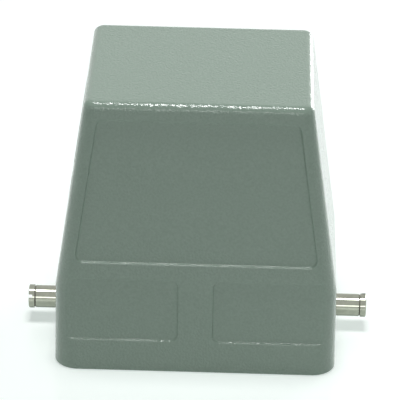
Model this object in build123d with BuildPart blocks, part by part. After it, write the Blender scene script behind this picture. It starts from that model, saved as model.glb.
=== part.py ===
# Cable-side hood of a heavy duty rectangular connector, standing on its open rim.
# A tapered die-cast housing carries a slotted peg screw with a turning sleeve on each
# narrow end, a side cable entry, and a six-way screw-terminal insert on four posts.
# Millimetres. Origin at the centre of the rim, +Z up, +X along the line of the pegs.

import math
import os

from build123d import *

os.makedirs("parts", exist_ok=True)

# Hood, outside: a near-upright skirt below the waist and a tapered body above it
rim_length = 60.0
rim_depth = 43.0
rim_corner_radius = 5.0
waist_height = 18.5
skirt_inset_x = 0.25
skirt_inset_y = 0.2
waist_corner_radius = 4.5
hood_height = 62.4
body_inset_x = 6.3
body_inset_y = 1.4
top_corner_radius = 2.2
top_edge_radius = 1.6
rim_edge_radius = 0.35

# Hood, inside
wall = 2.8
ceiling_wall = 3.0
ceiling_corner_radius = 1.5

# Recessed panel on each long face
panel_bottom_height = 25.8
panel_top_height = 58.7
panel_margin = 3.1
panel_corner_radius = 1.7
panel_depth = 0.58

# Draft and edge rounding of all four pressed-in fields
field_draft = 20.0
field_edge_radius = 0.25

# Pair of recesses in each long side of the skirt, with a rib between them
recess_bottom_height = 7.4
recess_top_height = 22.1
recess_rib_width = 7.3
recess_corner_radius = 1.6
recess_depth = 0.48

# Cable entry in the left end
entry_height = 44.5
entry_thread_radius = 10.0
entry_thread_length = 8.0
entry_seat_inset = 0.55
entry_seat_radius = 13.0
entry_boss_radius = 15.5

# Locking pegs: slotted shoulder screw and the sleeve that turns on it
peg_height = 5.3
peg_seat_inset = 0.2
peg_seat_radius = 2.9
peg_stem_radius = 1.5
peg_shoulder_radius = 1.85
peg_head_radius = 2.58
peg_head_length = 1.26
peg_head_chamfer = 0.15
peg_slot_width = 0.7
peg_slot_depth = 0.8
peg_slot_angle_left = 28.0
peg_slot_angle_right = 74.0
sleeve_radius = 2.46
sleeve_length = 5.34
sleeve_chamfer = 0.05
sleeve_bore_clearance = 0.05
sleeve_inner_gap = 0.2
sleeve_outer_gap = 0.25

# Insert: flange, terminal comb above it and pin shroud below it
insert_margin = 1.7
flange_thickness = 4.0
flange_bottom_height = 16.0
flange_corner_radius = 2.0
comb_rim = 3.0
comb_margin = 1.0
comb_end_wall = 1.4
comb_floor_thickness = 2.0
shroud_margin = 2.2
shroud_wall = 1.5
shroud_bottom_height = 2.5
shroud_corner_radius = 2.5
key_width = 2.4
key_thickness = 0.9
moulding_edge = 0.3

# Contacts: two rows of three
column_pitch = 6.75
row_spacing = 13.0
columns = 3
pin_radius = 1.25
pin_root_radius = 1.6
pin_tip_height = 5.0
pin_tip_radius = 0.9
collar_radius = 2.1
collar_land = 1.0
terminal_width = 5.2
terminal_depth = 5.8
terminal_height = 10.0
terminal_edge = 0.3
wire_hole_radius = 1.6
wire_hole_depth = 8.0
wire_hole_inset = 0.5
moulding_clearance = 0.1

# Terminal screws, one in the outer side of each contact
terminal_screw_radius = 1.5
terminal_screw_drop = 3.6
terminal_screw_length = 3.2
terminal_head_radius = 2.4
terminal_head_length = 1.8
terminal_head_gap = 0.8
terminal_head_chamfer = 0.2
terminal_slot_width = 0.8
terminal_slot_depth = 0.9
thread_clearance = 0.05

# Wire guard: a bent strip between the screw's tip and the wire
guard_thickness = 0.4
guard_width = 2.2
guard_length = 6.0

# Fixing screws with lock washers, four in a rectangle
fixing_inset = 3.5
fixing_screw_radius = 2.0
fixing_hole_clearance = 0.25
fixing_thread_length = 8.0
fixing_head_radius = 3.25
fixing_head_length = 2.6
fixing_head_fillet = 0.7
fixing_slot_width = 1.0
fixing_slot_depth = 1.2
fixing_slot_angle = 20.0
washer_thickness = 1.0
washer_radius = 3.4
washer_slit = 0.5
post_wall = 2.8
post_corner_radius = 2.0
post_hole_extra = 1.0
post_end_wall = 1.0

# Earth plates, one at each end of the insert, with a clamp and a screw
plate_thickness = 1.0
plate_margin = 0.4
blade_width = 7.0
blade_tip_height = 6.0
blade_tip_chamfer = 1.0
blade_gap = 1.7
slot_clearance = 0.15
earth_screw_radius = 2.0
earth_screw_length = 7.0
earth_head_radius = 3.4
earth_head_length = 2.4
earth_head_fillet = 0.6
earth_slot_width = 1.0
earth_slot_depth = 1.1
earth_slot_angle = 35.0
nut_radius = 2.9
nut_length = 3.0
clamp_length = 7.0
clamp_width = 8.4
clamp_thickness = 1.2
clamp_opening = 2.2
clamp_bend_radius = 1.0

# One overrun for all cuts
overrun = 1.0

# Sizes that follow from the ones above
waist_length = rim_length - 2 * skirt_inset_x
waist_depth = rim_depth - 2 * skirt_inset_y
top_length = waist_length - 2 * body_inset_x
top_depth = waist_depth - 2 * body_inset_y
flange_length = rim_length - 2 * (wall + insert_margin)
flange_depth = rim_depth - 2 * (wall + insert_margin)
fixing_spacing_x = flange_length - 2 * fixing_inset
fixing_spacing_y = flange_depth - 2 * fixing_inset
post_inner_x = fixing_spacing_x / 2 - fixing_screw_radius - post_wall
post_inner_y = fixing_spacing_y / 2 - fixing_screw_radius - post_wall
post_length = fixing_thread_length + post_hole_extra + post_end_wall
entry_seat_distance = top_length / 2 + entry_seat_inset
peg_seat_distance = rim_length / 2 - peg_seat_inset
pin_span_x = (columns - 1) * column_pitch + 2 * pin_radius
pin_span_y = row_spacing + 2 * pin_radius
shroud_length = pin_span_x + 2 * (shroud_margin + shroud_wall)
shroud_depth = pin_span_y + 2 * (shroud_margin + shroud_wall)
comb_height = comb_floor_thickness + terminal_height + comb_rim
comb_depth = flange_depth - 2 * comb_margin
plate_inner_x = shroud_length / 2 + blade_gap
plate_outer_x = flange_length / 2 - plate_margin
earth_screw_x = (plate_inner_x + plate_thickness + plate_outer_x) / 2
flange_top_height = flange_bottom_height + flange_thickness
plate_top_height = flange_top_height + plate_thickness
comb_floor_height = flange_top_height + comb_floor_thickness
ceiling_height = hood_height - ceiling_wall
row_offset = row_spacing / 2
terminal_inner = row_offset - terminal_depth / 2
terminal_outer = row_offset + terminal_depth / 2
terminal_top_height = comb_floor_height + terminal_height
pocket_width = terminal_width + 2 * moulding_clearance
comb_length = (columns - 1) * column_pitch + pocket_width + 2 * comb_end_wall
wire_hole_offset = row_offset - wire_hole_inset
body_lean = math.atan2((waist_depth - top_depth) / 2, hood_height - waist_height)
skirt_lean = math.atan2((rim_depth - waist_depth) / 2, waist_height)
field_slope = math.tan(math.radians(field_draft))
peg_shoulder_length = sleeve_inner_gap + sleeve_length + sleeve_outer_gap


def body_length_at(height):
    """Outside length of the tapered body at a height above the waist."""
    share = (height - waist_height) / (hood_height - waist_height)
    return waist_length + (top_length - waist_length) * share


def body_depth_at(height):
    """Outside depth of the tapered body at a height above the waist."""
    share = (height - waist_height) / (hood_height - waist_height)
    return waist_depth + (top_depth - waist_depth) * share


def field_edges(edges, face, depth):
    """Edges round the mouth and round the floor of a pressed-in field, not those down its walls."""
    middle = depth / 2
    return [
        edge
        for edge in edges
        if middle / 2 < abs(face.to_local_coords(edge.center()).Z + middle) < middle + middle / 2
    ]


# Space inside the hood, less the entry boss and the four fixing posts
with BuildPart() as cavity:
    with BuildSketch(Plane.XY):
        RectangleRounded(rim_length - 2 * wall, rim_depth - 2 * wall, rim_corner_radius - wall)
    with BuildSketch(Plane.XY.offset(waist_height)):
        RectangleRounded(waist_length - 2 * wall, waist_depth - 2 * wall, waist_corner_radius - wall)
    loft(ruled=True)
    with BuildSketch(Plane.XY.offset(waist_height)):
        RectangleRounded(waist_length - 2 * wall, waist_depth - 2 * wall, waist_corner_radius - wall)
    with BuildSketch(Plane.XY.offset(ceiling_height)):
        RectangleRounded(
            body_length_at(ceiling_height) - 2 * wall,
            body_depth_at(ceiling_height) - 2 * wall,
            ceiling_corner_radius,
        )
    loft(ruled=True)
    entry_inner = Plane(
        origin=(entry_thread_length - entry_seat_distance, 0, entry_height), z_dir=(-1, 0, 0)
    )
    with BuildSketch(entry_inner):
        Circle(entry_boss_radius)
    extrude(amount=rim_length / 2, mode=Mode.SUBTRACT)
    post_span_x = rim_length / 2 - post_inner_x
    post_span_y = rim_depth / 2 - post_inner_y
    with BuildSketch(Plane.XY.offset(plate_top_height)):
        with GridLocations(rim_length / 2 + post_inner_x, rim_depth / 2 + post_inner_y, 2, 2):
            RectangleRounded(post_span_x, post_span_y, post_corner_radius)
    extrude(amount=post_length, mode=Mode.SUBTRACT)

# Hood shell: one die casting
with BuildPart() as hood_shell:
    with BuildSketch(Plane.XY):
        RectangleRounded(rim_length, rim_depth, rim_corner_radius)
    with BuildSketch(Plane.XY.offset(waist_height)):
        RectangleRounded(waist_length, waist_depth, waist_corner_radius)
    loft(ruled=True)
    with BuildSketch(Plane.XY.offset(waist_height)):
        RectangleRounded(waist_length, waist_depth, waist_corner_radius)
    with BuildSketch(Plane.XY.offset(hood_height)):
        RectangleRounded(top_length, top_depth, top_corner_radius)
    loft(ruled=True)
    fillet(hood_shell.edges().group_by(Axis.Z)[-1], radius=top_edge_radius)
    add(cavity.part, mode=Mode.SUBTRACT)
    fillet(hood_shell.edges().group_by(Axis.Z)[0], radius=rim_edge_radius)

    for side in (1, -1):
        # The panel keeps the same margin to both leaning corners of the body
        long_face = Plane(
            origin=(0, -side * waist_depth / 2, waist_height),
            x_dir=(side, 0, 0),
            z_dir=(0, -side * math.cos(body_lean), math.sin(body_lean)),
        )
        for level in (overrun, -panel_depth):
            with BuildSketch(long_face.offset(level)) as panel:
                low = (panel_bottom_height - waist_height) / math.cos(body_lean) - level * field_slope
                high = (panel_top_height - waist_height) / math.cos(body_lean) + level * field_slope
                half_low = body_length_at(panel_bottom_height) / 2 - panel_margin + level * field_slope
                half_high = body_length_at(panel_top_height) / 2 - panel_margin + level * field_slope
                with BuildLine():
                    Polyline(
                        (-half_low, low),
                        (half_low, low),
                        (half_high, high),
                        (-half_high, high),
                        close=True,
                    )
                make_face()
                fillet(panel.vertices(), radius=panel_corner_radius + level * field_slope)
        loft(ruled=True, mode=Mode.SUBTRACT)
        panel_edges = field_edges(hood_shell.edges(Select.LAST), long_face, panel_depth)
        fillet(panel_edges, radius=field_edge_radius)

        # The recesses run out on the rounded corners of the skirt
        skirt_face = Plane(
            origin=(0, -side * rim_depth / 2, 0),
            x_dir=(side, 0, 0),
            z_dir=(0, -side * math.cos(skirt_lean), math.sin(skirt_lean)),
        )
        recess_length = (rim_length - recess_rib_width) / 2 + overrun
        recess_rise = recess_top_height - recess_bottom_height
        for end in (-1, 1):
            for level in (overrun, -recess_depth):
                with BuildSketch(skirt_face.offset(level)):
                    with Locations((
                        end * (recess_length + recess_rib_width) / 2,
                        recess_bottom_height + recess_rise / 2,
                    )):
                        RectangleRounded(
                            recess_length + 2 * level * field_slope,
                            recess_rise + 2 * level * field_slope,
                            recess_corner_radius + level * field_slope,
                        )
            loft(ruled=True, mode=Mode.SUBTRACT)
            recess_edges = field_edges(hood_shell.edges(Select.LAST), skirt_face, recess_depth)
            fillet(recess_edges, radius=field_edge_radius)

    # Cable entry: machined seat square to the bore, thread left at its major size
    entry_seat = Plane(origin=(-entry_seat_distance, 0, entry_height), z_dir=(-1, 0, 0))
    with BuildSketch(entry_seat):
        Circle(entry_seat_radius)
    extrude(amount=rim_length / 2 - entry_seat_distance, mode=Mode.SUBTRACT)
    with BuildSketch(entry_seat):
        Circle(entry_thread_radius)
    extrude(amount=-(entry_thread_length + overrun), mode=Mode.SUBTRACT)

    # Peg seats and the tapped holes behind them
    for side in (-1, 1):
        peg_seat = Plane(origin=(side * peg_seat_distance, 0, peg_height), z_dir=(side, 0, 0))
        with BuildSketch(peg_seat):
            Circle(peg_seat_radius)
        extrude(amount=overrun, mode=Mode.SUBTRACT)
        with BuildSketch(peg_seat):
            Circle(peg_stem_radius + thread_clearance)
        extrude(amount=-(wall + overrun), mode=Mode.SUBTRACT)

    # Tapped holes in the four posts
    with BuildSketch(Plane.XY.offset(plate_top_height)):
        with GridLocations(fixing_spacing_x, fixing_spacing_y, 2, 2):
            Circle(fixing_screw_radius + thread_clearance)
    extrude(amount=fixing_thread_length + post_hole_extra, mode=Mode.SUBTRACT)
hood_shell.part.label = "hood_shell"
export_step(hood_shell.part, "parts/hood_shell.step")

# Peg screws and sleeves
for name, side, slot_angle in (("left", -1, peg_slot_angle_left), ("right", 1, peg_slot_angle_right)):
    seat = Plane(origin=(side * peg_seat_distance, 0, peg_height), x_dir=(0, 1, 0), z_dir=(side, 0, 0))
    with BuildPart() as peg_screw:
        with BuildSketch(seat):
            Circle(peg_stem_radius)
        extrude(amount=-(wall - peg_seat_inset))
        with BuildSketch(seat):
            Circle(peg_shoulder_radius)
        extrude(amount=peg_shoulder_length)
        with BuildSketch(seat.offset(peg_shoulder_length)):
            Circle(peg_head_radius)
        extrude(amount=peg_head_length)
        chamfer(peg_screw.edges().group_by(Axis.X)[-1 if side > 0 else 0], length=peg_head_chamfer)
        with BuildSketch(seat.offset(peg_shoulder_length + peg_head_length)):
            Rectangle(2 * peg_head_radius + overrun, peg_slot_width, rotation=slot_angle)
        extrude(amount=-peg_slot_depth, mode=Mode.SUBTRACT)
    peg_screw.part.label = "peg_screw_" + name
    export_step(peg_screw.part, "parts/peg_screw_" + name + ".step")

    with BuildPart() as peg_sleeve:
        with BuildSketch(seat.offset(sleeve_inner_gap)):
            Circle(sleeve_radius)
            Circle(peg_shoulder_radius + sleeve_bore_clearance, mode=Mode.SUBTRACT)
        extrude(amount=sleeve_length)
        outer_rims = peg_sleeve.edges().filter_by(GeomType.CIRCLE).group_by(SortBy.RADIUS)[-1]
        chamfer(outer_rims, length=sleeve_chamfer)
    peg_sleeve.part.label = "peg_sleeve_" + name
    export_step(peg_sleeve.part, "parts/peg_sleeve_" + name + ".step")

# Insert body: one moulding
with BuildPart() as insert_body:
    with BuildSketch(Plane.XY.offset(flange_bottom_height)):
        RectangleRounded(flange_length, flange_depth, flange_corner_radius)
    extrude(amount=flange_thickness)
    with BuildSketch(Plane.XY.offset(flange_top_height)):
        Rectangle(comb_length, comb_depth)
    extrude(amount=comb_height)
    chamfer(insert_body.edges().group_by(Axis.Z)[-1], length=moulding_edge)

    # Pockets for the terminals, open at the top and at the long sides
    pocket_inner = terminal_inner - moulding_clearance
    pocket_depth = comb_depth / 2 - pocket_inner + overrun
    with BuildSketch(Plane.XY.offset(comb_floor_height)):
        with GridLocations(column_pitch, 2 * pocket_inner + pocket_depth, columns, 2):
            Rectangle(pocket_width, pocket_depth)
    extrude(amount=comb_height, mode=Mode.SUBTRACT)

    # Shroud round the pins, with a key inside one wall, off the middle
    with BuildSketch(Plane.XY.offset(flange_bottom_height)) as shroud:
        RectangleRounded(shroud_length, shroud_depth, shroud_corner_radius)
        RectangleRounded(
            shroud_length - 2 * shroud_wall,
            shroud_depth - 2 * shroud_wall,
            shroud_corner_radius - shroud_wall,
            mode=Mode.SUBTRACT,
        )
        with Locations((column_pitch / 2, shroud_depth / 2 - shroud_wall - key_thickness / 2)):
            Rectangle(key_width, key_thickness)
    extrude(amount=-(flange_bottom_height - shroud_bottom_height))
    chamfer(insert_body.edges().group_by(Axis.Z)[0], length=moulding_edge)

    # Stepped bores for the contacts
    with BuildSketch(Plane.XY.offset(flange_bottom_height + collar_land)):
        with GridLocations(column_pitch, row_spacing, columns, 2):
            Circle(collar_radius + moulding_clearance)
    extrude(amount=comb_floor_height - flange_bottom_height, mode=Mode.SUBTRACT)
    with BuildSketch(Plane.XY.offset(flange_bottom_height - overrun)):
        with GridLocations(column_pitch, row_spacing, columns, 2):
            Circle(pin_root_radius + moulding_clearance)
    extrude(amount=collar_land + 2 * overrun, mode=Mode.SUBTRACT)

    # Holes for the fixing screws, slots for the earth blades, pockets for the plate nuts
    with BuildSketch(Plane.XY.offset(flange_bottom_height - overrun)):
        with GridLocations(fixing_spacing_x, fixing_spacing_y, 2, 2):
            Circle(fixing_screw_radius + fixing_hole_clearance)
        with GridLocations(2 * plate_inner_x + plate_thickness, 0, 2, 1):
            Rectangle(plate_thickness + 2 * slot_clearance, blade_width + 2 * slot_clearance)
    extrude(amount=flange_thickness + 2 * overrun, mode=Mode.SUBTRACT)
    with BuildSketch(Plane.XY.offset(flange_top_height)):
        with GridLocations(2 * earth_screw_x, 0, 2, 1):
            Circle(nut_radius + moulding_clearance)
    extrude(amount=-(nut_length + moulding_clearance), mode=Mode.SUBTRACT)
insert_body.part.label = "insert_body"
export_step(insert_body.part, "parts/insert_body.step")

# Contacts: pin, collar and terminal block in one piece, numbered along each row
contact_number = 0
for row_side in (-1, 1):
    for column in range(columns):
        contact_number += 1
        pin_x = (column - (columns - 1) / 2) * column_pitch
        pin_y = row_side * row_offset
        node = "contact_pin_" + str(contact_number)
        with BuildPart() as contact:
            with BuildSketch(Plane.XY.offset(pin_tip_height)):
                with Locations((pin_x, pin_y)):
                    Circle(pin_radius)
            extrude(amount=flange_bottom_height - pin_tip_height)
            fillet(contact.edges().group_by(Axis.Z)[0], radius=pin_tip_radius)
            with BuildSketch(Plane.XY.offset(flange_bottom_height)):
                with Locations((pin_x, pin_y)):
                    Circle(pin_root_radius)
            extrude(amount=collar_land)
            with BuildSketch(Plane.XY.offset(flange_bottom_height + collar_land)):
                with Locations((pin_x, pin_y)):
                    Circle(collar_radius)
            extrude(amount=comb_floor_height - flange_bottom_height - collar_land)
            with BuildSketch(Plane.XY.offset(comb_floor_height)):
                with Locations((pin_x, pin_y)):
                    Rectangle(terminal_width, terminal_depth)
            extrude(amount=terminal_height)
            chamfer(contact.edges().group_by(Axis.Z)[-1], length=terminal_edge)
            with BuildSketch(Plane.XY.offset(terminal_top_height)):
                with Locations((pin_x, row_side * wire_hole_offset)):
                    Circle(wire_hole_radius)
            extrude(amount=-wire_hole_depth, mode=Mode.SUBTRACT)
            screw_hole = Plane(
                origin=(pin_x, row_side * terminal_outer, terminal_top_height - terminal_screw_drop),
                z_dir=(0, row_side, 0),
            )
            with BuildSketch(screw_hole):
                Circle(terminal_screw_radius + thread_clearance)
            extrude(amount=-(terminal_outer - wire_hole_offset), mode=Mode.SUBTRACT)
        contact.part.label = node
        export_step(contact.part, "parts/" + node + ".step")

# Terminal screws, backed out a little as delivered
with BuildPart() as terminal_screws:
    head_offset = terminal_outer + terminal_head_gap
    for row_side in (-1, 1):
        head_plane = Plane(
            origin=(0, row_side * head_offset, terminal_top_height - terminal_screw_drop),
            x_dir=(1, 0, 0),
            z_dir=(0, row_side, 0),
        )
        with BuildSketch(head_plane):
            with GridLocations(column_pitch, 0, columns, 1):
                Circle(terminal_head_radius)
        extrude(amount=terminal_head_length)
        head_rims = terminal_screws.edges().group_by(Axis.Y)[-1 if row_side > 0 else 0]
        chamfer(head_rims, length=terminal_head_chamfer)
        with BuildSketch(head_plane):
            with GridLocations(column_pitch, 0, columns, 1):
                Circle(terminal_screw_radius)
        extrude(amount=-terminal_screw_length)
        with BuildSketch(head_plane.offset(terminal_head_length)):
            with GridLocations(column_pitch, 0, columns, 1):
                Rectangle(2 * terminal_head_radius + overrun, terminal_slot_width)
        extrude(amount=-terminal_slot_depth, mode=Mode.SUBTRACT)
terminal_screws.part.label = "terminal_screws"
export_step(terminal_screws.part, "parts/terminal_screws.step")

# Wire guards: a leg in the wire hole and a tab over the terminal
with BuildPart() as wire_guards:
    for row_side in (-1, 1):
        leg_face = head_offset - terminal_screw_length
        tab_reach = terminal_outer - terminal_edge - leg_face + guard_thickness
        with BuildSketch(Plane.XY.offset(terminal_top_height + guard_thickness)):
            with GridLocations(column_pitch, 0, columns, 1):
                with Locations((0, row_side * (leg_face - guard_thickness / 2))):
                    Rectangle(guard_width, guard_thickness)
        extrude(amount=-guard_length)
        with BuildSketch(Plane.XY.offset(terminal_top_height)):
            with GridLocations(column_pitch, 0, columns, 1):
                with Locations((0, row_side * (leg_face - guard_thickness + tab_reach / 2))):
                    Rectangle(guard_width, tab_reach)
        extrude(amount=guard_thickness)
wire_guards.part.label = "wire_guards"
export_step(wire_guards.part, "parts/wire_guards.step")

# Earth plates: punched and bent, with a drawn and tapped collar
for name, side in (("left", -1), ("right", 1)):
    plate_length = plate_outer_x - plate_inner_x
    plate_width = flange_depth - 2 * plate_margin
    with BuildPart() as earth_plate:
        with BuildSketch(Plane.XY.offset(flange_top_height)):
            with Locations((side * (fixing_spacing_x / 2), 0)):
                Rectangle(2 * (plate_outer_x - fixing_spacing_x / 2), plate_width)
            with Locations((side * (plate_inner_x + plate_length / 2), 0)):
                Rectangle(plate_length, clamp_width + 2 * plate_margin)
            with Locations((side * (fixing_spacing_x / 2), 0)):
                with GridLocations(0, fixing_spacing_y, 1, 2):
                    Circle(fixing_screw_radius + fixing_hole_clearance, mode=Mode.SUBTRACT)
        extrude(amount=plate_thickness)
        with BuildSketch(Plane.XY.offset(flange_top_height)):
            with Locations((side * (plate_inner_x + plate_thickness / 2), 0)):
                Rectangle(plate_thickness, blade_width)
        extrude(amount=-(flange_top_height - blade_tip_height))
        blade_tip = earth_plate.edges().group_by(Axis.Z)[0].filter_by(Axis.X)
        chamfer(blade_tip, length=blade_tip_chamfer)
        with BuildSketch(Plane.XY.offset(flange_top_height)):
            with Locations((side * earth_screw_x, 0)):
                Circle(nut_radius)
        extrude(amount=-nut_length)
        with BuildSketch(Plane.XY.offset(plate_top_height)):
            with Locations((side * earth_screw_x, 0)):
                Circle(earth_screw_radius + thread_clearance)
        extrude(amount=-(nut_length + plate_thickness), mode=Mode.SUBTRACT)
    earth_plate.part.label = "earth_plate_" + name
    export_step(earth_plate.part, "parts/earth_plate_" + name + ".step")

# Earth clamps: bent saddles that stand on the plates
with BuildPart() as earth_clamps:
    with BuildSketch(Plane.XY.offset(plate_top_height)):
        with GridLocations(2 * earth_screw_x, 0, 2, 1):
            Rectangle(clamp_length, clamp_width)
    extrude(amount=clamp_opening + clamp_thickness)
    clamp_bends = earth_clamps.edges().group_by(Axis.Z)[-1].filter_by(Axis.X)
    fillet(clamp_bends, radius=clamp_bend_radius)
    with BuildSketch(Plane.XY.offset(plate_top_height)):
        with GridLocations(2 * earth_screw_x, 0, 2, 1):
            Rectangle(clamp_length + overrun, clamp_width - 2 * clamp_thickness)
    extrude(amount=clamp_opening, mode=Mode.SUBTRACT)
    with BuildSketch(Plane.XY.offset(plate_top_height)):
        with GridLocations(2 * earth_screw_x, 0, 2, 1):
            Circle(earth_screw_radius + fixing_hole_clearance)
    extrude(amount=clamp_opening + 2 * clamp_thickness, mode=Mode.SUBTRACT)
earth_clamps.part.label = "earth_clamps"
export_step(earth_clamps.part, "parts/earth_clamps.step")

# Earth screws, down through the clamps into the plates
with BuildPart() as earth_screws:
    earth_head_height = plate_top_height + clamp_opening + clamp_thickness
    with BuildSketch(Plane.XY.offset(earth_head_height)):
        with GridLocations(2 * earth_screw_x, 0, 2, 1):
            Circle(earth_head_radius)
    extrude(amount=earth_head_length)
    fillet(earth_screws.edges().group_by(Axis.Z)[-1], radius=earth_head_fillet)
    with BuildSketch(Plane.XY.offset(earth_head_height)):
        with GridLocations(2 * earth_screw_x, 0, 2, 1):
            Circle(earth_screw_radius)
    extrude(amount=-earth_screw_length)
    with BuildSketch(Plane.XY.offset(earth_head_height + earth_head_length)):
        with GridLocations(2 * earth_screw_x, 0, 2, 1):
            Rectangle(2 * earth_head_radius + overrun, earth_slot_width, rotation=earth_slot_angle)
    extrude(amount=-earth_slot_depth, mode=Mode.SUBTRACT)
earth_screws.part.label = "earth_screws"
export_step(earth_screws.part, "parts/earth_screws.step")

# Fixing screws, up through the flange and the plates into the posts
with BuildPart() as fixing_screws:
    fixing_head_height = flange_bottom_height - washer_thickness
    with BuildSketch(Plane.XY.offset(fixing_head_height)):
        with GridLocations(fixing_spacing_x, fixing_spacing_y, 2, 2):
            Circle(fixing_head_radius)
    extrude(amount=-fixing_head_length)
    fillet(fixing_screws.edges().group_by(Axis.Z)[0], radius=fixing_head_fillet)
    with BuildSketch(Plane.XY.offset(fixing_head_height)):
        with GridLocations(fixing_spacing_x, fixing_spacing_y, 2, 2):
            Circle(fixing_screw_radius)
    extrude(amount=plate_top_height - fixing_head_height + fixing_thread_length)
    with BuildSketch(Plane.XY.offset(fixing_head_height - fixing_head_length)):
        with GridLocations(fixing_spacing_x, fixing_spacing_y, 2, 2):
            Rectangle(2 * fixing_head_radius + overrun, fixing_slot_width, rotation=fixing_slot_angle)
    extrude(amount=fixing_slot_depth, mode=Mode.SUBTRACT)
fixing_screws.part.label = "fixing_screws"
export_step(fixing_screws.part, "parts/fixing_screws.step")

# Lock washers under the heads of the fixing screws
with BuildPart() as fixing_washers:
    with BuildSketch(Plane.XY.offset(fixing_head_height)):
        with GridLocations(fixing_spacing_x, fixing_spacing_y, 2, 2):
            Circle(washer_radius)
            Circle(fixing_screw_radius + fixing_hole_clearance, mode=Mode.SUBTRACT)
            with Locations((washer_radius / 2, 0)):
                Rectangle(washer_radius + overrun, washer_slit, mode=Mode.SUBTRACT)
    extrude(amount=washer_thickness)
fixing_washers.part.label = "fixing_washers"
export_step(fixing_washers.part, "parts/fixing_washers.step")
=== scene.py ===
import math

import bmesh
import bpy
from mathutils import Matrix, Vector


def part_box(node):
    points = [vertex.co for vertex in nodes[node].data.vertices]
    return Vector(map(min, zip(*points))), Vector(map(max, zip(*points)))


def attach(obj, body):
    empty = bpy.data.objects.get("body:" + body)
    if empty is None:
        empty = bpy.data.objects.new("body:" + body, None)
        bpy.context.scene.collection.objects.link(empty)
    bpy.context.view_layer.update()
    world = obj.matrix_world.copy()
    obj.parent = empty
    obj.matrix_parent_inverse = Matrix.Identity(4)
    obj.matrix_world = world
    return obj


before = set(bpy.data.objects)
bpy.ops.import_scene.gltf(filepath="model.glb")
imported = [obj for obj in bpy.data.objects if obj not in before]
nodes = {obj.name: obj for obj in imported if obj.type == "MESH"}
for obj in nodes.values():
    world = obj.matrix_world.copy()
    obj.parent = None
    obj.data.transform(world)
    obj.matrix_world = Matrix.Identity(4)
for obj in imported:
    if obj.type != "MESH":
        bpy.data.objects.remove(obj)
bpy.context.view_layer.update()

scene = bpy.context.scene
scene.view_settings.view_transform = "Standard"
mm = 0.001


# Camera
# A long lens on a tripod, a little above the table, square to the long face. Its place,
# angles and focal length were fitted to the hood's edges in the photo.
camera_place = Vector((10.483, -531.549, 313.897)) * mm
camera_yaw = -0.0194
camera_pitch = 0.4901
camera_roll = 0.0184
focal_pixels = 2804.0
picture_pixels = 400.0
sensor_width = 36.0
nearest_seen = 0.01
farthest_seen = 20.0

camera_data = bpy.data.cameras.new("camera")
camera_data.sensor_width = sensor_width
camera_data.lens = focal_pixels * sensor_width / picture_pixels
camera_data.clip_start = nearest_seen
camera_data.clip_end = farthest_seen
camera = bpy.data.objects.new("camera", camera_data)
scene.collection.objects.link(camera)
scene.camera = camera
ahead = Vector((
    math.sin(camera_yaw) * math.cos(camera_pitch),
    math.cos(camera_yaw) * math.cos(camera_pitch),
    -math.sin(camera_pitch),
))
level = Vector((math.cos(camera_yaw), -math.sin(camera_yaw), 0.0))
upward = level.cross(ahead)
across = level * math.cos(camera_roll) + upward * math.sin(camera_roll)
standing = upward * math.cos(camera_roll) - level * math.sin(camera_roll)
turned_camera = Matrix((across, standing, -ahead)).transposed().to_4x4()
camera.matrix_world = Matrix.Translation(camera_place) @ turned_camera


# Hood shell
# One aluminium die casting, powder coated grey-green. The coat flows into a fine, glossy
# pebble of half a millimetre, a touch lighter on its crests. The bore of the cable entry
# is cut after coating, so it is bare metal.
coat_dark = (0.211, 0.307, 0.2415)
coat_light = (0.234, 0.335, 0.2645)
pebble_noise = (2000.0, 1.0)
pebble_depth = 0.12 * mm
peel_noise = (620.0, 1.0, 0.4)
peel_depth = 0.004 * mm
coat_roughness = (0.5, 0.62)
coat_specular = 0.2
gloss_roughness = 0.06
gloss_index = 1.6
bare_metal = (0.60, 0.60, 0.58)
entry_height = 44.5 * mm
bare_radius = 10.1 * mm
bare_from = -30.0 * mm
bare_to = -15.9 * mm


def new_material(name):
    """An empty node material: the material, its node tree and its shader."""
    material = bpy.data.materials.new(name)
    material.use_nodes = True
    tree = material.node_tree
    tree.nodes.clear()
    shader = tree.nodes.new("ShaderNodeBsdfPrincipled")
    output = tree.nodes.new("ShaderNodeOutputMaterial")
    tree.links.new(shader.outputs["BSDF"], output.inputs["Surface"])
    return material, tree, shader


def object_noise(tree, scale, detail=2.0, roughness=0.5, stretch=(1.0, 1.0, 1.0)):
    """Noise in the object's own coordinates; its scale counts features a metre."""
    place = tree.nodes.new("ShaderNodeTexCoord")
    mapping = tree.nodes.new("ShaderNodeMapping")
    mapping.inputs["Scale"].default_value = stretch
    noise = tree.nodes.new("ShaderNodeTexNoise")
    noise.inputs["Scale"].default_value = scale
    noise.inputs["Detail"].default_value = detail
    noise.inputs["Roughness"].default_value = roughness
    tree.links.new(place.outputs["Object"], mapping.inputs["Vector"])
    tree.links.new(mapping.outputs["Vector"], noise.inputs["Vector"])
    return noise.outputs["Fac"]


def ramp(tree, factor, low, high, start=0.3, end=0.7):
    """A colour ramp between two colours, fed by a factor."""
    node = tree.nodes.new("ShaderNodeValToRGB")
    for stop, position, colour in zip(node.color_ramp.elements, (start, end), (low, high)):
        stop.position = position
        stop.color = (*colour, 1.0)
    tree.links.new(factor, node.inputs["Fac"])
    return node.outputs["Color"]


def bump(tree, height, distance, under=None):
    """A bump of so many metres, on top of another one if given."""
    node = tree.nodes.new("ShaderNodeBump")
    node.inputs["Distance"].default_value = distance
    tree.links.new(height, node.inputs["Height"])
    if under is not None:
        tree.links.new(under, node.inputs["Normal"])
    return node.outputs["Normal"]


def span(tree, factor, low, high):
    """A factor of 0 to 1 stretched to a range."""
    node = tree.nodes.new("ShaderNodeMapRange")
    node.inputs["To Min"].default_value = low
    node.inputs["To Max"].default_value = high
    tree.links.new(factor, node.inputs["Value"])
    return node.outputs["Result"]


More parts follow.
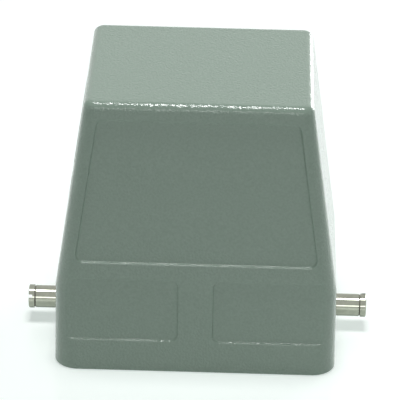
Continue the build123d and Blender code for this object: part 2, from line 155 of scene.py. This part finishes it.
def calculate(tree, operation, first, second):
    """The outcome of a Math node on two outputs or numbers."""
    node = tree.nodes.new("ShaderNodeMath")
    node.operation = operation
    for value, socket in ((first, node.inputs[0]), (second, node.inputs[1])):
        if isinstance(value, (int, float)):
            socket.default_value = value
        else:
            tree.links.new(value, socket)
    return node.outputs["Value"]


def inside_cylinder(tree, height, radius, low, high):
    """One inside a cylinder along X at a height above the rim, between two places on X."""
    place = tree.nodes.new("ShaderNodeTexCoord")
    split = tree.nodes.new("ShaderNodeSeparateXYZ")
    tree.links.new(place.outputs["Object"], split.inputs["Vector"])
    beside = split.outputs["Y"]
    above = calculate(tree, "SUBTRACT", split.outputs["Z"], height)
    squares = [calculate(tree, "MULTIPLY", away, away) for away in (beside, above)]
    near = calculate(tree, "LESS_THAN", calculate(tree, "ADD", *squares), radius ** 2)
    past = calculate(tree, "GREATER_THAN", split.outputs["X"], low)
    short = calculate(tree, "LESS_THAN", split.outputs["X"], high)
    return calculate(tree, "MULTIPLY", calculate(tree, "MULTIPLY", near, past), short)


def blend(tree, mask, under, over):
    """A colour laid over a colour's output by a mask."""
    mix = tree.nodes.new("ShaderNodeMix")
    mix.data_type = "RGBA"
    tree.links.new(mask, mix.inputs["Factor"])
    tree.links.new(under, mix.inputs[6])
    mix.inputs[7].default_value = (*over, 1.0)
    return mix.outputs[2]


def paint(material, *names):
    """Puts a material in the slot of each of these CAD nodes."""
    for name in names:
        nodes[name].material_slots[0].material = material


coat, tree, shader = new_material("powder_coat")
pebble = object_noise(tree, *pebble_noise)
bare = inside_cylinder(tree, entry_height, bare_radius, bare_from, bare_to)
coat_colour = ramp(tree, pebble, coat_dark, coat_light)
tree.links.new(blend(tree, bare, coat_colour, bare_metal), shader.inputs["Base Color"])
tree.links.new(bare, shader.inputs["Metallic"])
tree.links.new(span(tree, bare, 1.0, 0.0), shader.inputs["Coat Weight"])
peel = bump(tree, object_noise(tree, *peel_noise), peel_depth)
pebbled = bump(tree, pebble, pebble_depth, peel)
tree.links.new(pebbled, shader.inputs["Normal"])
tree.links.new(pebbled, shader.inputs["Coat Normal"])
tree.links.new(span(tree, pebble, *coat_roughness), shader.inputs["Roughness"])
shader.inputs["Specular IOR Level"].default_value = coat_specular
shader.inputs["Coat Roughness"].default_value = gloss_roughness
shader.inputs["Coat IOR"].default_value = gloss_index
paint(coat, "hood_shell")


# Thread of the cable entry
# A metric thread of 1.5 mm pitch in bare aluminium, cut through the boss after coating.
# One trapezium swept along a helix; its crest grows from nothing and fades to nothing.
thread_root_radius = 10.02 * mm
thread_depth = 0.82 * mm
thread_pitch = 1.5 * mm
thread_turns = 4.8
thread_start = -16.4 * mm
thread_steps = 48
thread_fades = 14.0
root_half_share = 0.4375
crest_half_share = 0.125
aluminium_noise = (400.0, 2.0, 0.6, (8.0, 1.0, 1.0))
aluminium_dark = (0.56, 0.56, 0.55)
aluminium_light = (0.68, 0.68, 0.66)
aluminium_roughness = (0.22, 0.38)
aluminium_depth = 0.005 * mm


def metal(name, noise, dark, light, roughness, depth=None):
    """A bare metal whose tone, roughness and bump, if it has one, follow one noise."""
    material, tree, shader = new_material(name)
    grain = object_noise(tree, *noise)
    tree.links.new(ramp(tree, grain, dark, light), shader.inputs["Base Color"])
    shader.inputs["Metallic"].default_value = 1.0
    tree.links.new(span(tree, grain, *roughness), shader.inputs["Roughness"])
    if depth is not None:
        tree.links.new(bump(tree, grain, depth), shader.inputs["Normal"])
    return material


def new_tree(name, inputs):
    """An empty Geometry Nodes tree with named inputs: the tree, its input and its output."""
    tree = bpy.data.node_groups.new(name, "GeometryNodeTree")
    for label, kind in inputs:
        tree.interface.new_socket(label, in_out="INPUT", socket_type="NodeSocket" + kind)
    tree.interface.new_socket("Geometry", in_out="OUTPUT", socket_type="NodeSocketGeometry")
    return tree, tree.nodes.new("NodeGroupInput"), tree.nodes.new("NodeGroupOutput")


def grown(name, tree, values):
    """A plain mesh object made by a Geometry Nodes tree with these values for its inputs."""
    grower = bpy.data.objects.new(name, bpy.data.meshes.new(name))
    scene.collection.objects.link(grower)
    modifier = grower.modifiers.new(name, "NODES")
    modifier.node_group = tree
    for item in tree.interface.items_tree:
        if item.item_type == "SOCKET" and item.in_out == "INPUT":
            modifier[item.identifier] = values[item.name]
    made = grower.evaluated_get(bpy.context.evaluated_depsgraph_get())
    mesh = bpy.data.meshes.new_from_object(made)
    grower.modifiers.remove(modifier)
    grower.data = mesh
    return grower


aluminium = metal(
    "machined_aluminium", aluminium_noise, aluminium_dark, aluminium_light,
    aluminium_roughness, aluminium_depth,
)
thread_tree, given, result = new_tree("thread", [
    ("Root radius", "Float"), ("Depth", "Float"), ("Pitch", "Float"), ("Turns", "Float"),
    ("Start", "Vector"), ("Turned", "Vector"), ("Material", "Material"),
])
add = thread_tree.nodes.new
link = thread_tree.links.new
height = calculate(thread_tree, "MULTIPLY", given.outputs["Pitch"], given.outputs["Turns"])
helix = add("GeometryNodeCurveSpiral")
helix.inputs["Resolution"].default_value = thread_steps
link(given.outputs["Turns"], helix.inputs["Rotations"])
link(given.outputs["Root radius"], helix.inputs["Start Radius"])
link(given.outputs["Root radius"], helix.inputs["End Radius"])
link(height, helix.inputs["Height"])
upright = add("GeometryNodeSetCurveNormal")
upright.mode = "Z_UP"
link(helix.outputs["Curve"], upright.inputs["Curve"])
form = add("GeometryNodeCurvePrimitiveQuadrilateral")
form.mode = "POINTS"
form_shares = (
    (0.0, -root_half_share), (0.0, root_half_share),
    (1.0, crest_half_share), (1.0, -crest_half_share),
)
for number, (depth_share, pitch_share) in enumerate(form_shares, 1):
    corner = add("ShaderNodeCombineXYZ")
    inward = calculate(thread_tree, "MULTIPLY", given.outputs["Depth"], depth_share)
    sideways = calculate(thread_tree, "MULTIPLY", given.outputs["Pitch"], pitch_share)
    link(inward, corner.inputs["X"])
    link(sideways, corner.inputs["Y"])
    link(corner.outputs["Vector"], form.inputs["Point %d" % number])
travelled = add("GeometryNodeSplineParameter").outputs["Factor"]
left_over = calculate(thread_tree, "SUBTRACT", 1.0, travelled)
nearer_end = calculate(thread_tree, "MINIMUM", travelled, left_over)
growth = calculate(thread_tree, "MULTIPLY", nearer_end, thread_fades)
swept = add("GeometryNodeCurveToMesh")
link(upright.outputs["Curve"], swept.inputs["Curve"])
link(form.outputs["Curve"], swept.inputs["Profile Curve"])
link(calculate(thread_tree, "MINIMUM", growth, 1.0), swept.inputs["Scale"])
placed = add("GeometryNodeTransform")
link(swept.outputs["Mesh"], placed.inputs["Geometry"])
link(given.outputs["Start"], placed.inputs["Translation"])
link(given.outputs["Turned"], placed.inputs["Rotation"])
whole = add("GeometryNodeRealizeInstances")
link(placed.outputs["Geometry"], whole.inputs["Geometry"])
finished = add("GeometryNodeSetMaterial")
link(whole.outputs["Geometry"], finished.inputs["Geometry"])
link(given.outputs["Material"], finished.inputs["Material"])
link(finished.outputs["Geometry"], result.inputs["Geometry"])
entry_thread = grown("entry_thread", thread_tree, {
    "Root radius": thread_root_radius, "Depth": thread_depth, "Pitch": thread_pitch,
    "Turns": thread_turns, "Start": (thread_start, 0.0, entry_height),
    "Turned": (0.0, math.radians(-90.0), 0.0), "Material": aluminium,
})
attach(entry_thread, "hood")


# Locking pegs
# A slotted shoulder screw in each end wall, with a sleeve that turns on it. Both are turned
# from free-cutting steel and nickel plated, so fine rings run round them. The shoulder
# between sleeve and head is coloured near black: painted shade in the gap between them.
along_x = Vector((1.0, 0.0, 0.0))
sides = (("left", -along_x), ("right", along_x))
peg_height = 5.3 * mm
nickel_noise = (900.0,)
nickel_dark = (0.30, 0.315, 0.26)
nickel_light = (0.345, 0.362, 0.30)
nickel_roughness = (0.02, 0.06)
ring_noise = (500.0, 2.0, 0.6, (12.0, 0.4, 0.4))
ring_depth = 0.003 * mm
gap_shade_colour = (0.012, 0.012, 0.010)
gap_shade_radius = 2.2 * mm
gap_shade_to = 35.7 * mm
nickel, tree, shader = new_material("turned_nickel")
rings = object_noise(tree, *ring_noise)
plated = ramp(tree, object_noise(tree, *nickel_noise), nickel_dark, nickel_light)
# Painted shade: the shoulder inside the gap between sleeve and head is coloured near black.
gap_shade = inside_cylinder(tree, peg_height, gap_shade_radius, -gap_shade_to, gap_shade_to)
tree.links.new(blend(tree, gap_shade, plated, gap_shade_colour), shader.inputs["Base Color"])
shader.inputs["Metallic"].default_value = 1.0
tree.links.new(span(tree, rings, *nickel_roughness), shader.inputs["Roughness"])
tree.links.new(bump(tree, rings, ring_depth), shader.inputs["Normal"])
for side, outward in sides:
    paint(nickel, "peg_screw_" + side, "peg_sleeve_" + side)


# Painted shade in the pegs
# A dark bead put between each sleeve and the head that holds it, as painted shade for the
# gap between them: a ring of four rounds of points, one at each corner of its section.
shade_bead_low = 35.37 * mm
shade_bead_high = 35.56 * mm
shade_bead_inner = 1.9 * mm
shade_bead_outer = 2.3 * mm
shade_bead_steps = 48
shade_bead_noise = (1500.0,)
shade_bead_dark = (0.24, 0.235, 0.19)
shade_bead_light = (0.30, 0.29, 0.24)
shade_bead_depth = 0.02 * mm
shade_bead_roughness = 0.35
shade_bead_specular = 0.3
# The bead's dark colour is painted shade, standing in for the gap between sleeve and head.
shade_bead, tree, shader = new_material("shade_bead")
shade_bead_grain = object_noise(tree, *shade_bead_noise)
tree.links.new(ramp(tree, shade_bead_grain, shade_bead_dark, shade_bead_light, 0.0, 1.0), shader.inputs["Base Color"])
tree.links.new(bump(tree, shade_bead_grain, shade_bead_depth), shader.inputs["Normal"])
shader.inputs["Roughness"].default_value = shade_bead_roughness
shader.inputs["Specular IOR Level"].default_value = shade_bead_specular
shade_bead_section = (
    (shade_bead_low, shade_bead_inner), (shade_bead_low, shade_bead_outer),
    (shade_bead_high, shade_bead_outer), (shade_bead_high, shade_bead_inner),
)
angles = [2.0 * math.pi * step / shade_bead_steps for step in range(shade_bead_steps)]
for side, outward in sides:
    name = "grease_" + side
    ring = bmesh.new()
    rounds = [
        [
            ring.verts.new(outward * x + Vector((
                0.0, radius * math.cos(angle), peg_height + radius * math.sin(angle),
            )))
            for angle in angles
        ]
        for x, radius in shade_bead_section
    ]
    for corner in range(len(rounds)):
        here = rounds[corner - 1]
        there = rounds[corner]
        for step in range(shade_bead_steps):
            ring.faces.new((here[step - 1], here[step], there[step], there[step - 1]))
    bmesh.ops.recalc_face_normals(ring, faces=ring.faces)
    ring_mesh = bpy.data.meshes.new(name)
    ring.to_mesh(ring_mesh)
    ring.free()
    ring_mesh.materials.append(shade_bead)
    bead = bpy.data.objects.new(name, ring_mesh)
    scene.collection.objects.link(bead)
    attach(bead, "hood")


# Insert
# One moulding in pebble grey glass-filled plastic, matt from the tool's fine spark finish.
# Four screws hold its flange to the posts in the hood.
plastic_noise = (700.0, 3.0)
plastic_dark = (0.37, 0.36, 0.315)
plastic_light = (0.42, 0.41, 0.36)
plastic_roughness = (0.48, 0.62)
spark_noise = (5200.0,)
spark_depth = 0.01 * mm
plastic, tree, shader = new_material("moulded_plastic")
speck = object_noise(tree, *plastic_noise)
tree.links.new(ramp(tree, speck, plastic_dark, plastic_light), shader.inputs["Base Color"])
spark = object_noise(tree, *spark_noise)
tree.links.new(bump(tree, spark, spark_depth), shader.inputs["Normal"])
tree.links.new(span(tree, spark, *plastic_roughness), shader.inputs["Roughness"])
paint(plastic, "insert_body")


# Contact numbers
# Raised figures of the same moulding beside each contact, on the mating face, read from
# below, and on the wall between the two rows of terminals.
poles = range(1, 7)
figure_size = 2.6 * mm
figure_rise = 0.2 * mm
figure_steps = 4
mating_face = 16.0 * mm
mating_offset = 2.7 * mm
terminal_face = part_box("insert_body")[1][2]
terminal_offset = 1.8 * mm
read_from_below = Matrix.Rotation(math.pi, 4, "X")
figures = bmesh.new()
for number in poles:
    pin_low, pin_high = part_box("contact_pin_%d" % number)
    pin_x = (pin_low[0] + pin_high[0]) / 2
    row = 1.0 if pin_low[1] + pin_high[1] > 0 else -1.0
    text = bpy.data.curves.new("figure_%d" % number, "FONT")
    text.body = str(number)
    text.size = figure_size
    text.extrude = figure_rise
    text.align_x = "CENTER"
    text.align_y = "CENTER"
    text.resolution_u = figure_steps
    letter = bpy.data.objects.new("figure_%d" % number, text)
    scene.collection.objects.link(letter)
    bpy.context.view_layer.update()
    shown = letter.evaluated_get(bpy.context.evaluated_depsgraph_get())
    drawn = bpy.data.meshes.new_from_object(shown)
    for place in (
        Matrix.Translation((pin_x, row * mating_offset, mating_face)) @ read_from_below,
        Matrix.Translation((pin_x, row * terminal_offset, terminal_face)),
    ):
        copy = drawn.copy()
        copy.transform(place)
        figures.from_mesh(copy)
    bpy.data.objects.remove(letter)
figure_mesh = bpy.data.meshes.new("contact_numbers")
figures.to_mesh(figure_mesh)
figures.free()
figure_mesh.materials.append(plastic)
contact_numbers = bpy.data.objects.new("contact_numbers", figure_mesh)
scene.collection.objects.link(contact_numbers)
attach(contact_numbers, "hood")


# Contacts
# Turned and milled from brass rod in one piece with their terminals, then silver plated.
# The silver tarnishes in clouds, and fine scratches run along the pins.
tarnish_noise = (260.0, 4.0)
tarnish_from = 0.35
tarnish_to = 0.65
silver_dark = (0.56, 0.53, 0.46)
silver_light = (0.74, 0.72, 0.67)
silver_roughness = (0.22, 0.38)
scratch_noise = (900.0, 2.0, 0.6, (1.0, 1.0, 6.0))
scratch_depth = 0.004 * mm
silver, tree, shader = new_material("silvered_brass")
tarnish = object_noise(tree, *tarnish_noise)
silvered = ramp(tree, tarnish, silver_dark, silver_light, tarnish_from, tarnish_to)
tree.links.new(silvered, shader.inputs["Base Color"])
shader.inputs["Metallic"].default_value = 1.0
scratches = object_noise(tree, *scratch_noise)
tree.links.new(span(tree, scratches, *silver_roughness), shader.inputs["Roughness"])
tree.links.new(bump(tree, scratches, scratch_depth), shader.inputs["Normal"])
paint(silver, *("contact_pin_%d" % number for number in poles))


# Screws and washers
# Cold-headed steel with bright zinc plate, faintly blue: the screws of the terminals, of
# the earth clamps and of the insert, these on lock washers.
zinc_noise = (800.0, 3.0)
zinc_dark = (0.50, 0.53, 0.55)
zinc_light = (0.66, 0.68, 0.69)
zinc_roughness = (0.24, 0.4)
zinc_depth = 0.006 * mm
zinc = metal("zinc_plate", zinc_noise, zinc_dark, zinc_light, zinc_roughness, zinc_depth)
paint(zinc, "terminal_screws", "earth_screws", "fixing_screws", "fixing_washers")


# Earth plates and clamps
# Punched and bent from rolled steel sheet, zinc plated, with the mill's grain along them.
# The plates lie on the insert's flange, and the fixing screws go through them.
sheet_noise = (400.0, 3.0, 0.6, (1.0, 8.0, 8.0))
sheet_dark = (0.46, 0.47, 0.47)
sheet_light = (0.6, 0.61, 0.61)
sheet_roughness = (0.3, 0.46)
sheet_depth = 0.005 * mm
sheet = metal("rolled_sheet", sheet_noise, sheet_dark, sheet_light, sheet_roughness, sheet_depth)
paint(sheet, "earth_plate_left", "earth_plate_right", "earth_clamps")


# Wire guards
# Strips of phosphor bronze, one in each terminal, that keep the screw's tip off the wire.
bronze_noise = (600.0, 3.0)
bronze_dark = (0.46, 0.27, 0.12)
bronze_light = (0.6, 0.38, 0.19)
bronze_roughness = (0.25, 0.4)
bronze = metal("spring_bronze", bronze_noise, bronze_dark, bronze_light, bronze_roughness)
paint(bronze, "wire_guards")


# Table and background
# A pale satin table top that runs out of the picture into white. What looks at it, or
# mirrors it, sees it nearly white, and it still takes the shadows.
table_half = 1.6
table_drop = 0.02 * mm
table_noise = (8.0,)
table_dark = (0.72, 0.74, 0.73)
table_light = (0.74, 0.76, 0.75)
table_roughness = 0.2
table_specular = 0.25
table_glow = (0.90, 1.0, 0.965, 1.0)
glow_strength = 0.46


def shows_background(tree):
    """One on rays that see the background: straight, mirrored or through glass."""
    rays = tree.nodes.new("ShaderNodeLightPath").outputs
    seen = calculate(tree, "MAXIMUM", rays["Is Camera Ray"], rays["Is Glossy Ray"])
    return calculate(tree, "MAXIMUM", seen, rays["Is Transmission Ray"])


table_mesh = bpy.data.meshes.new("table")
table_corners = ((-1, -1), (1, -1), (1, 1), (-1, 1))
table_points = [(x * table_half, y * table_half, -table_drop) for x, y in table_corners]
table_mesh.from_pydata(table_points, [], [(0, 1, 2, 3)])
table = bpy.data.objects.new("table", table_mesh)
scene.collection.objects.link(table)
table_top, tree, shader = new_material("table_top")
cloud = object_noise(tree, *table_noise)
tree.links.new(ramp(tree, cloud, table_dark, table_light, 0.0, 1.0), shader.inputs["Base Color"])
shader.inputs["Roughness"].default_value = table_roughness
shader.inputs["Specular IOR Level"].default_value = table_specular
shader.inputs["Emission Color"].default_value = table_glow
glow = span(tree, shows_background(tree), 0.0, glow_strength)
tree.links.new(glow, shader.inputs["Emission Strength"])
table_mesh.materials.append(table_top)


# Light
# A soft panel overhead that draws the bright line along the top edge, a weaker one low in
# front that draws the second line, a low one at the back right, and a dim white room.
room_light = 0.14
room_colour = (1.0, 1.0, 1.0, 1.0)
lamp_target = Vector((0.0, 0.0, 0.03))
panels = (
    ("overhead", (0.0, -0.015, 0.93), 0.3, 0.22, 4.7),
    ("front", (0.0, -0.96, 0.31), 0.4, 0.2, 0.76),
    ("back_right", (0.6, 0.8, 0.2), 0.5, 0.3, 5.0),
)
world = bpy.data.worlds.new("studio")
scene.world = world
world.use_nodes = True
tree = world.node_tree
tree.nodes.clear()
sky = tree.nodes.new("ShaderNodeBackground")
tree.links.new(span(tree, shows_background(tree), room_light, 1.0), sky.inputs["Strength"])
sky.inputs["Color"].default_value = room_colour
out = tree.nodes.new("ShaderNodeOutputWorld")
tree.links.new(sky.outputs["Background"], out.inputs["Surface"])
for name, place, width, depth, watts in panels:
    lamp_data = bpy.data.lights.new(name, "AREA")
    lamp_data.shape = "RECTANGLE"
    lamp_data.size = width
    lamp_data.size_y = depth
    lamp_data.energy = watts
    lamp = bpy.data.objects.new(name, lamp_data)
    scene.collection.objects.link(lamp)
    lamp.location = place
    lamp.rotation_mode = "QUATERNION"
    lamp.rotation_quaternion = (lamp_target - Vector(place)).to_track_quat("-Z", "Y")
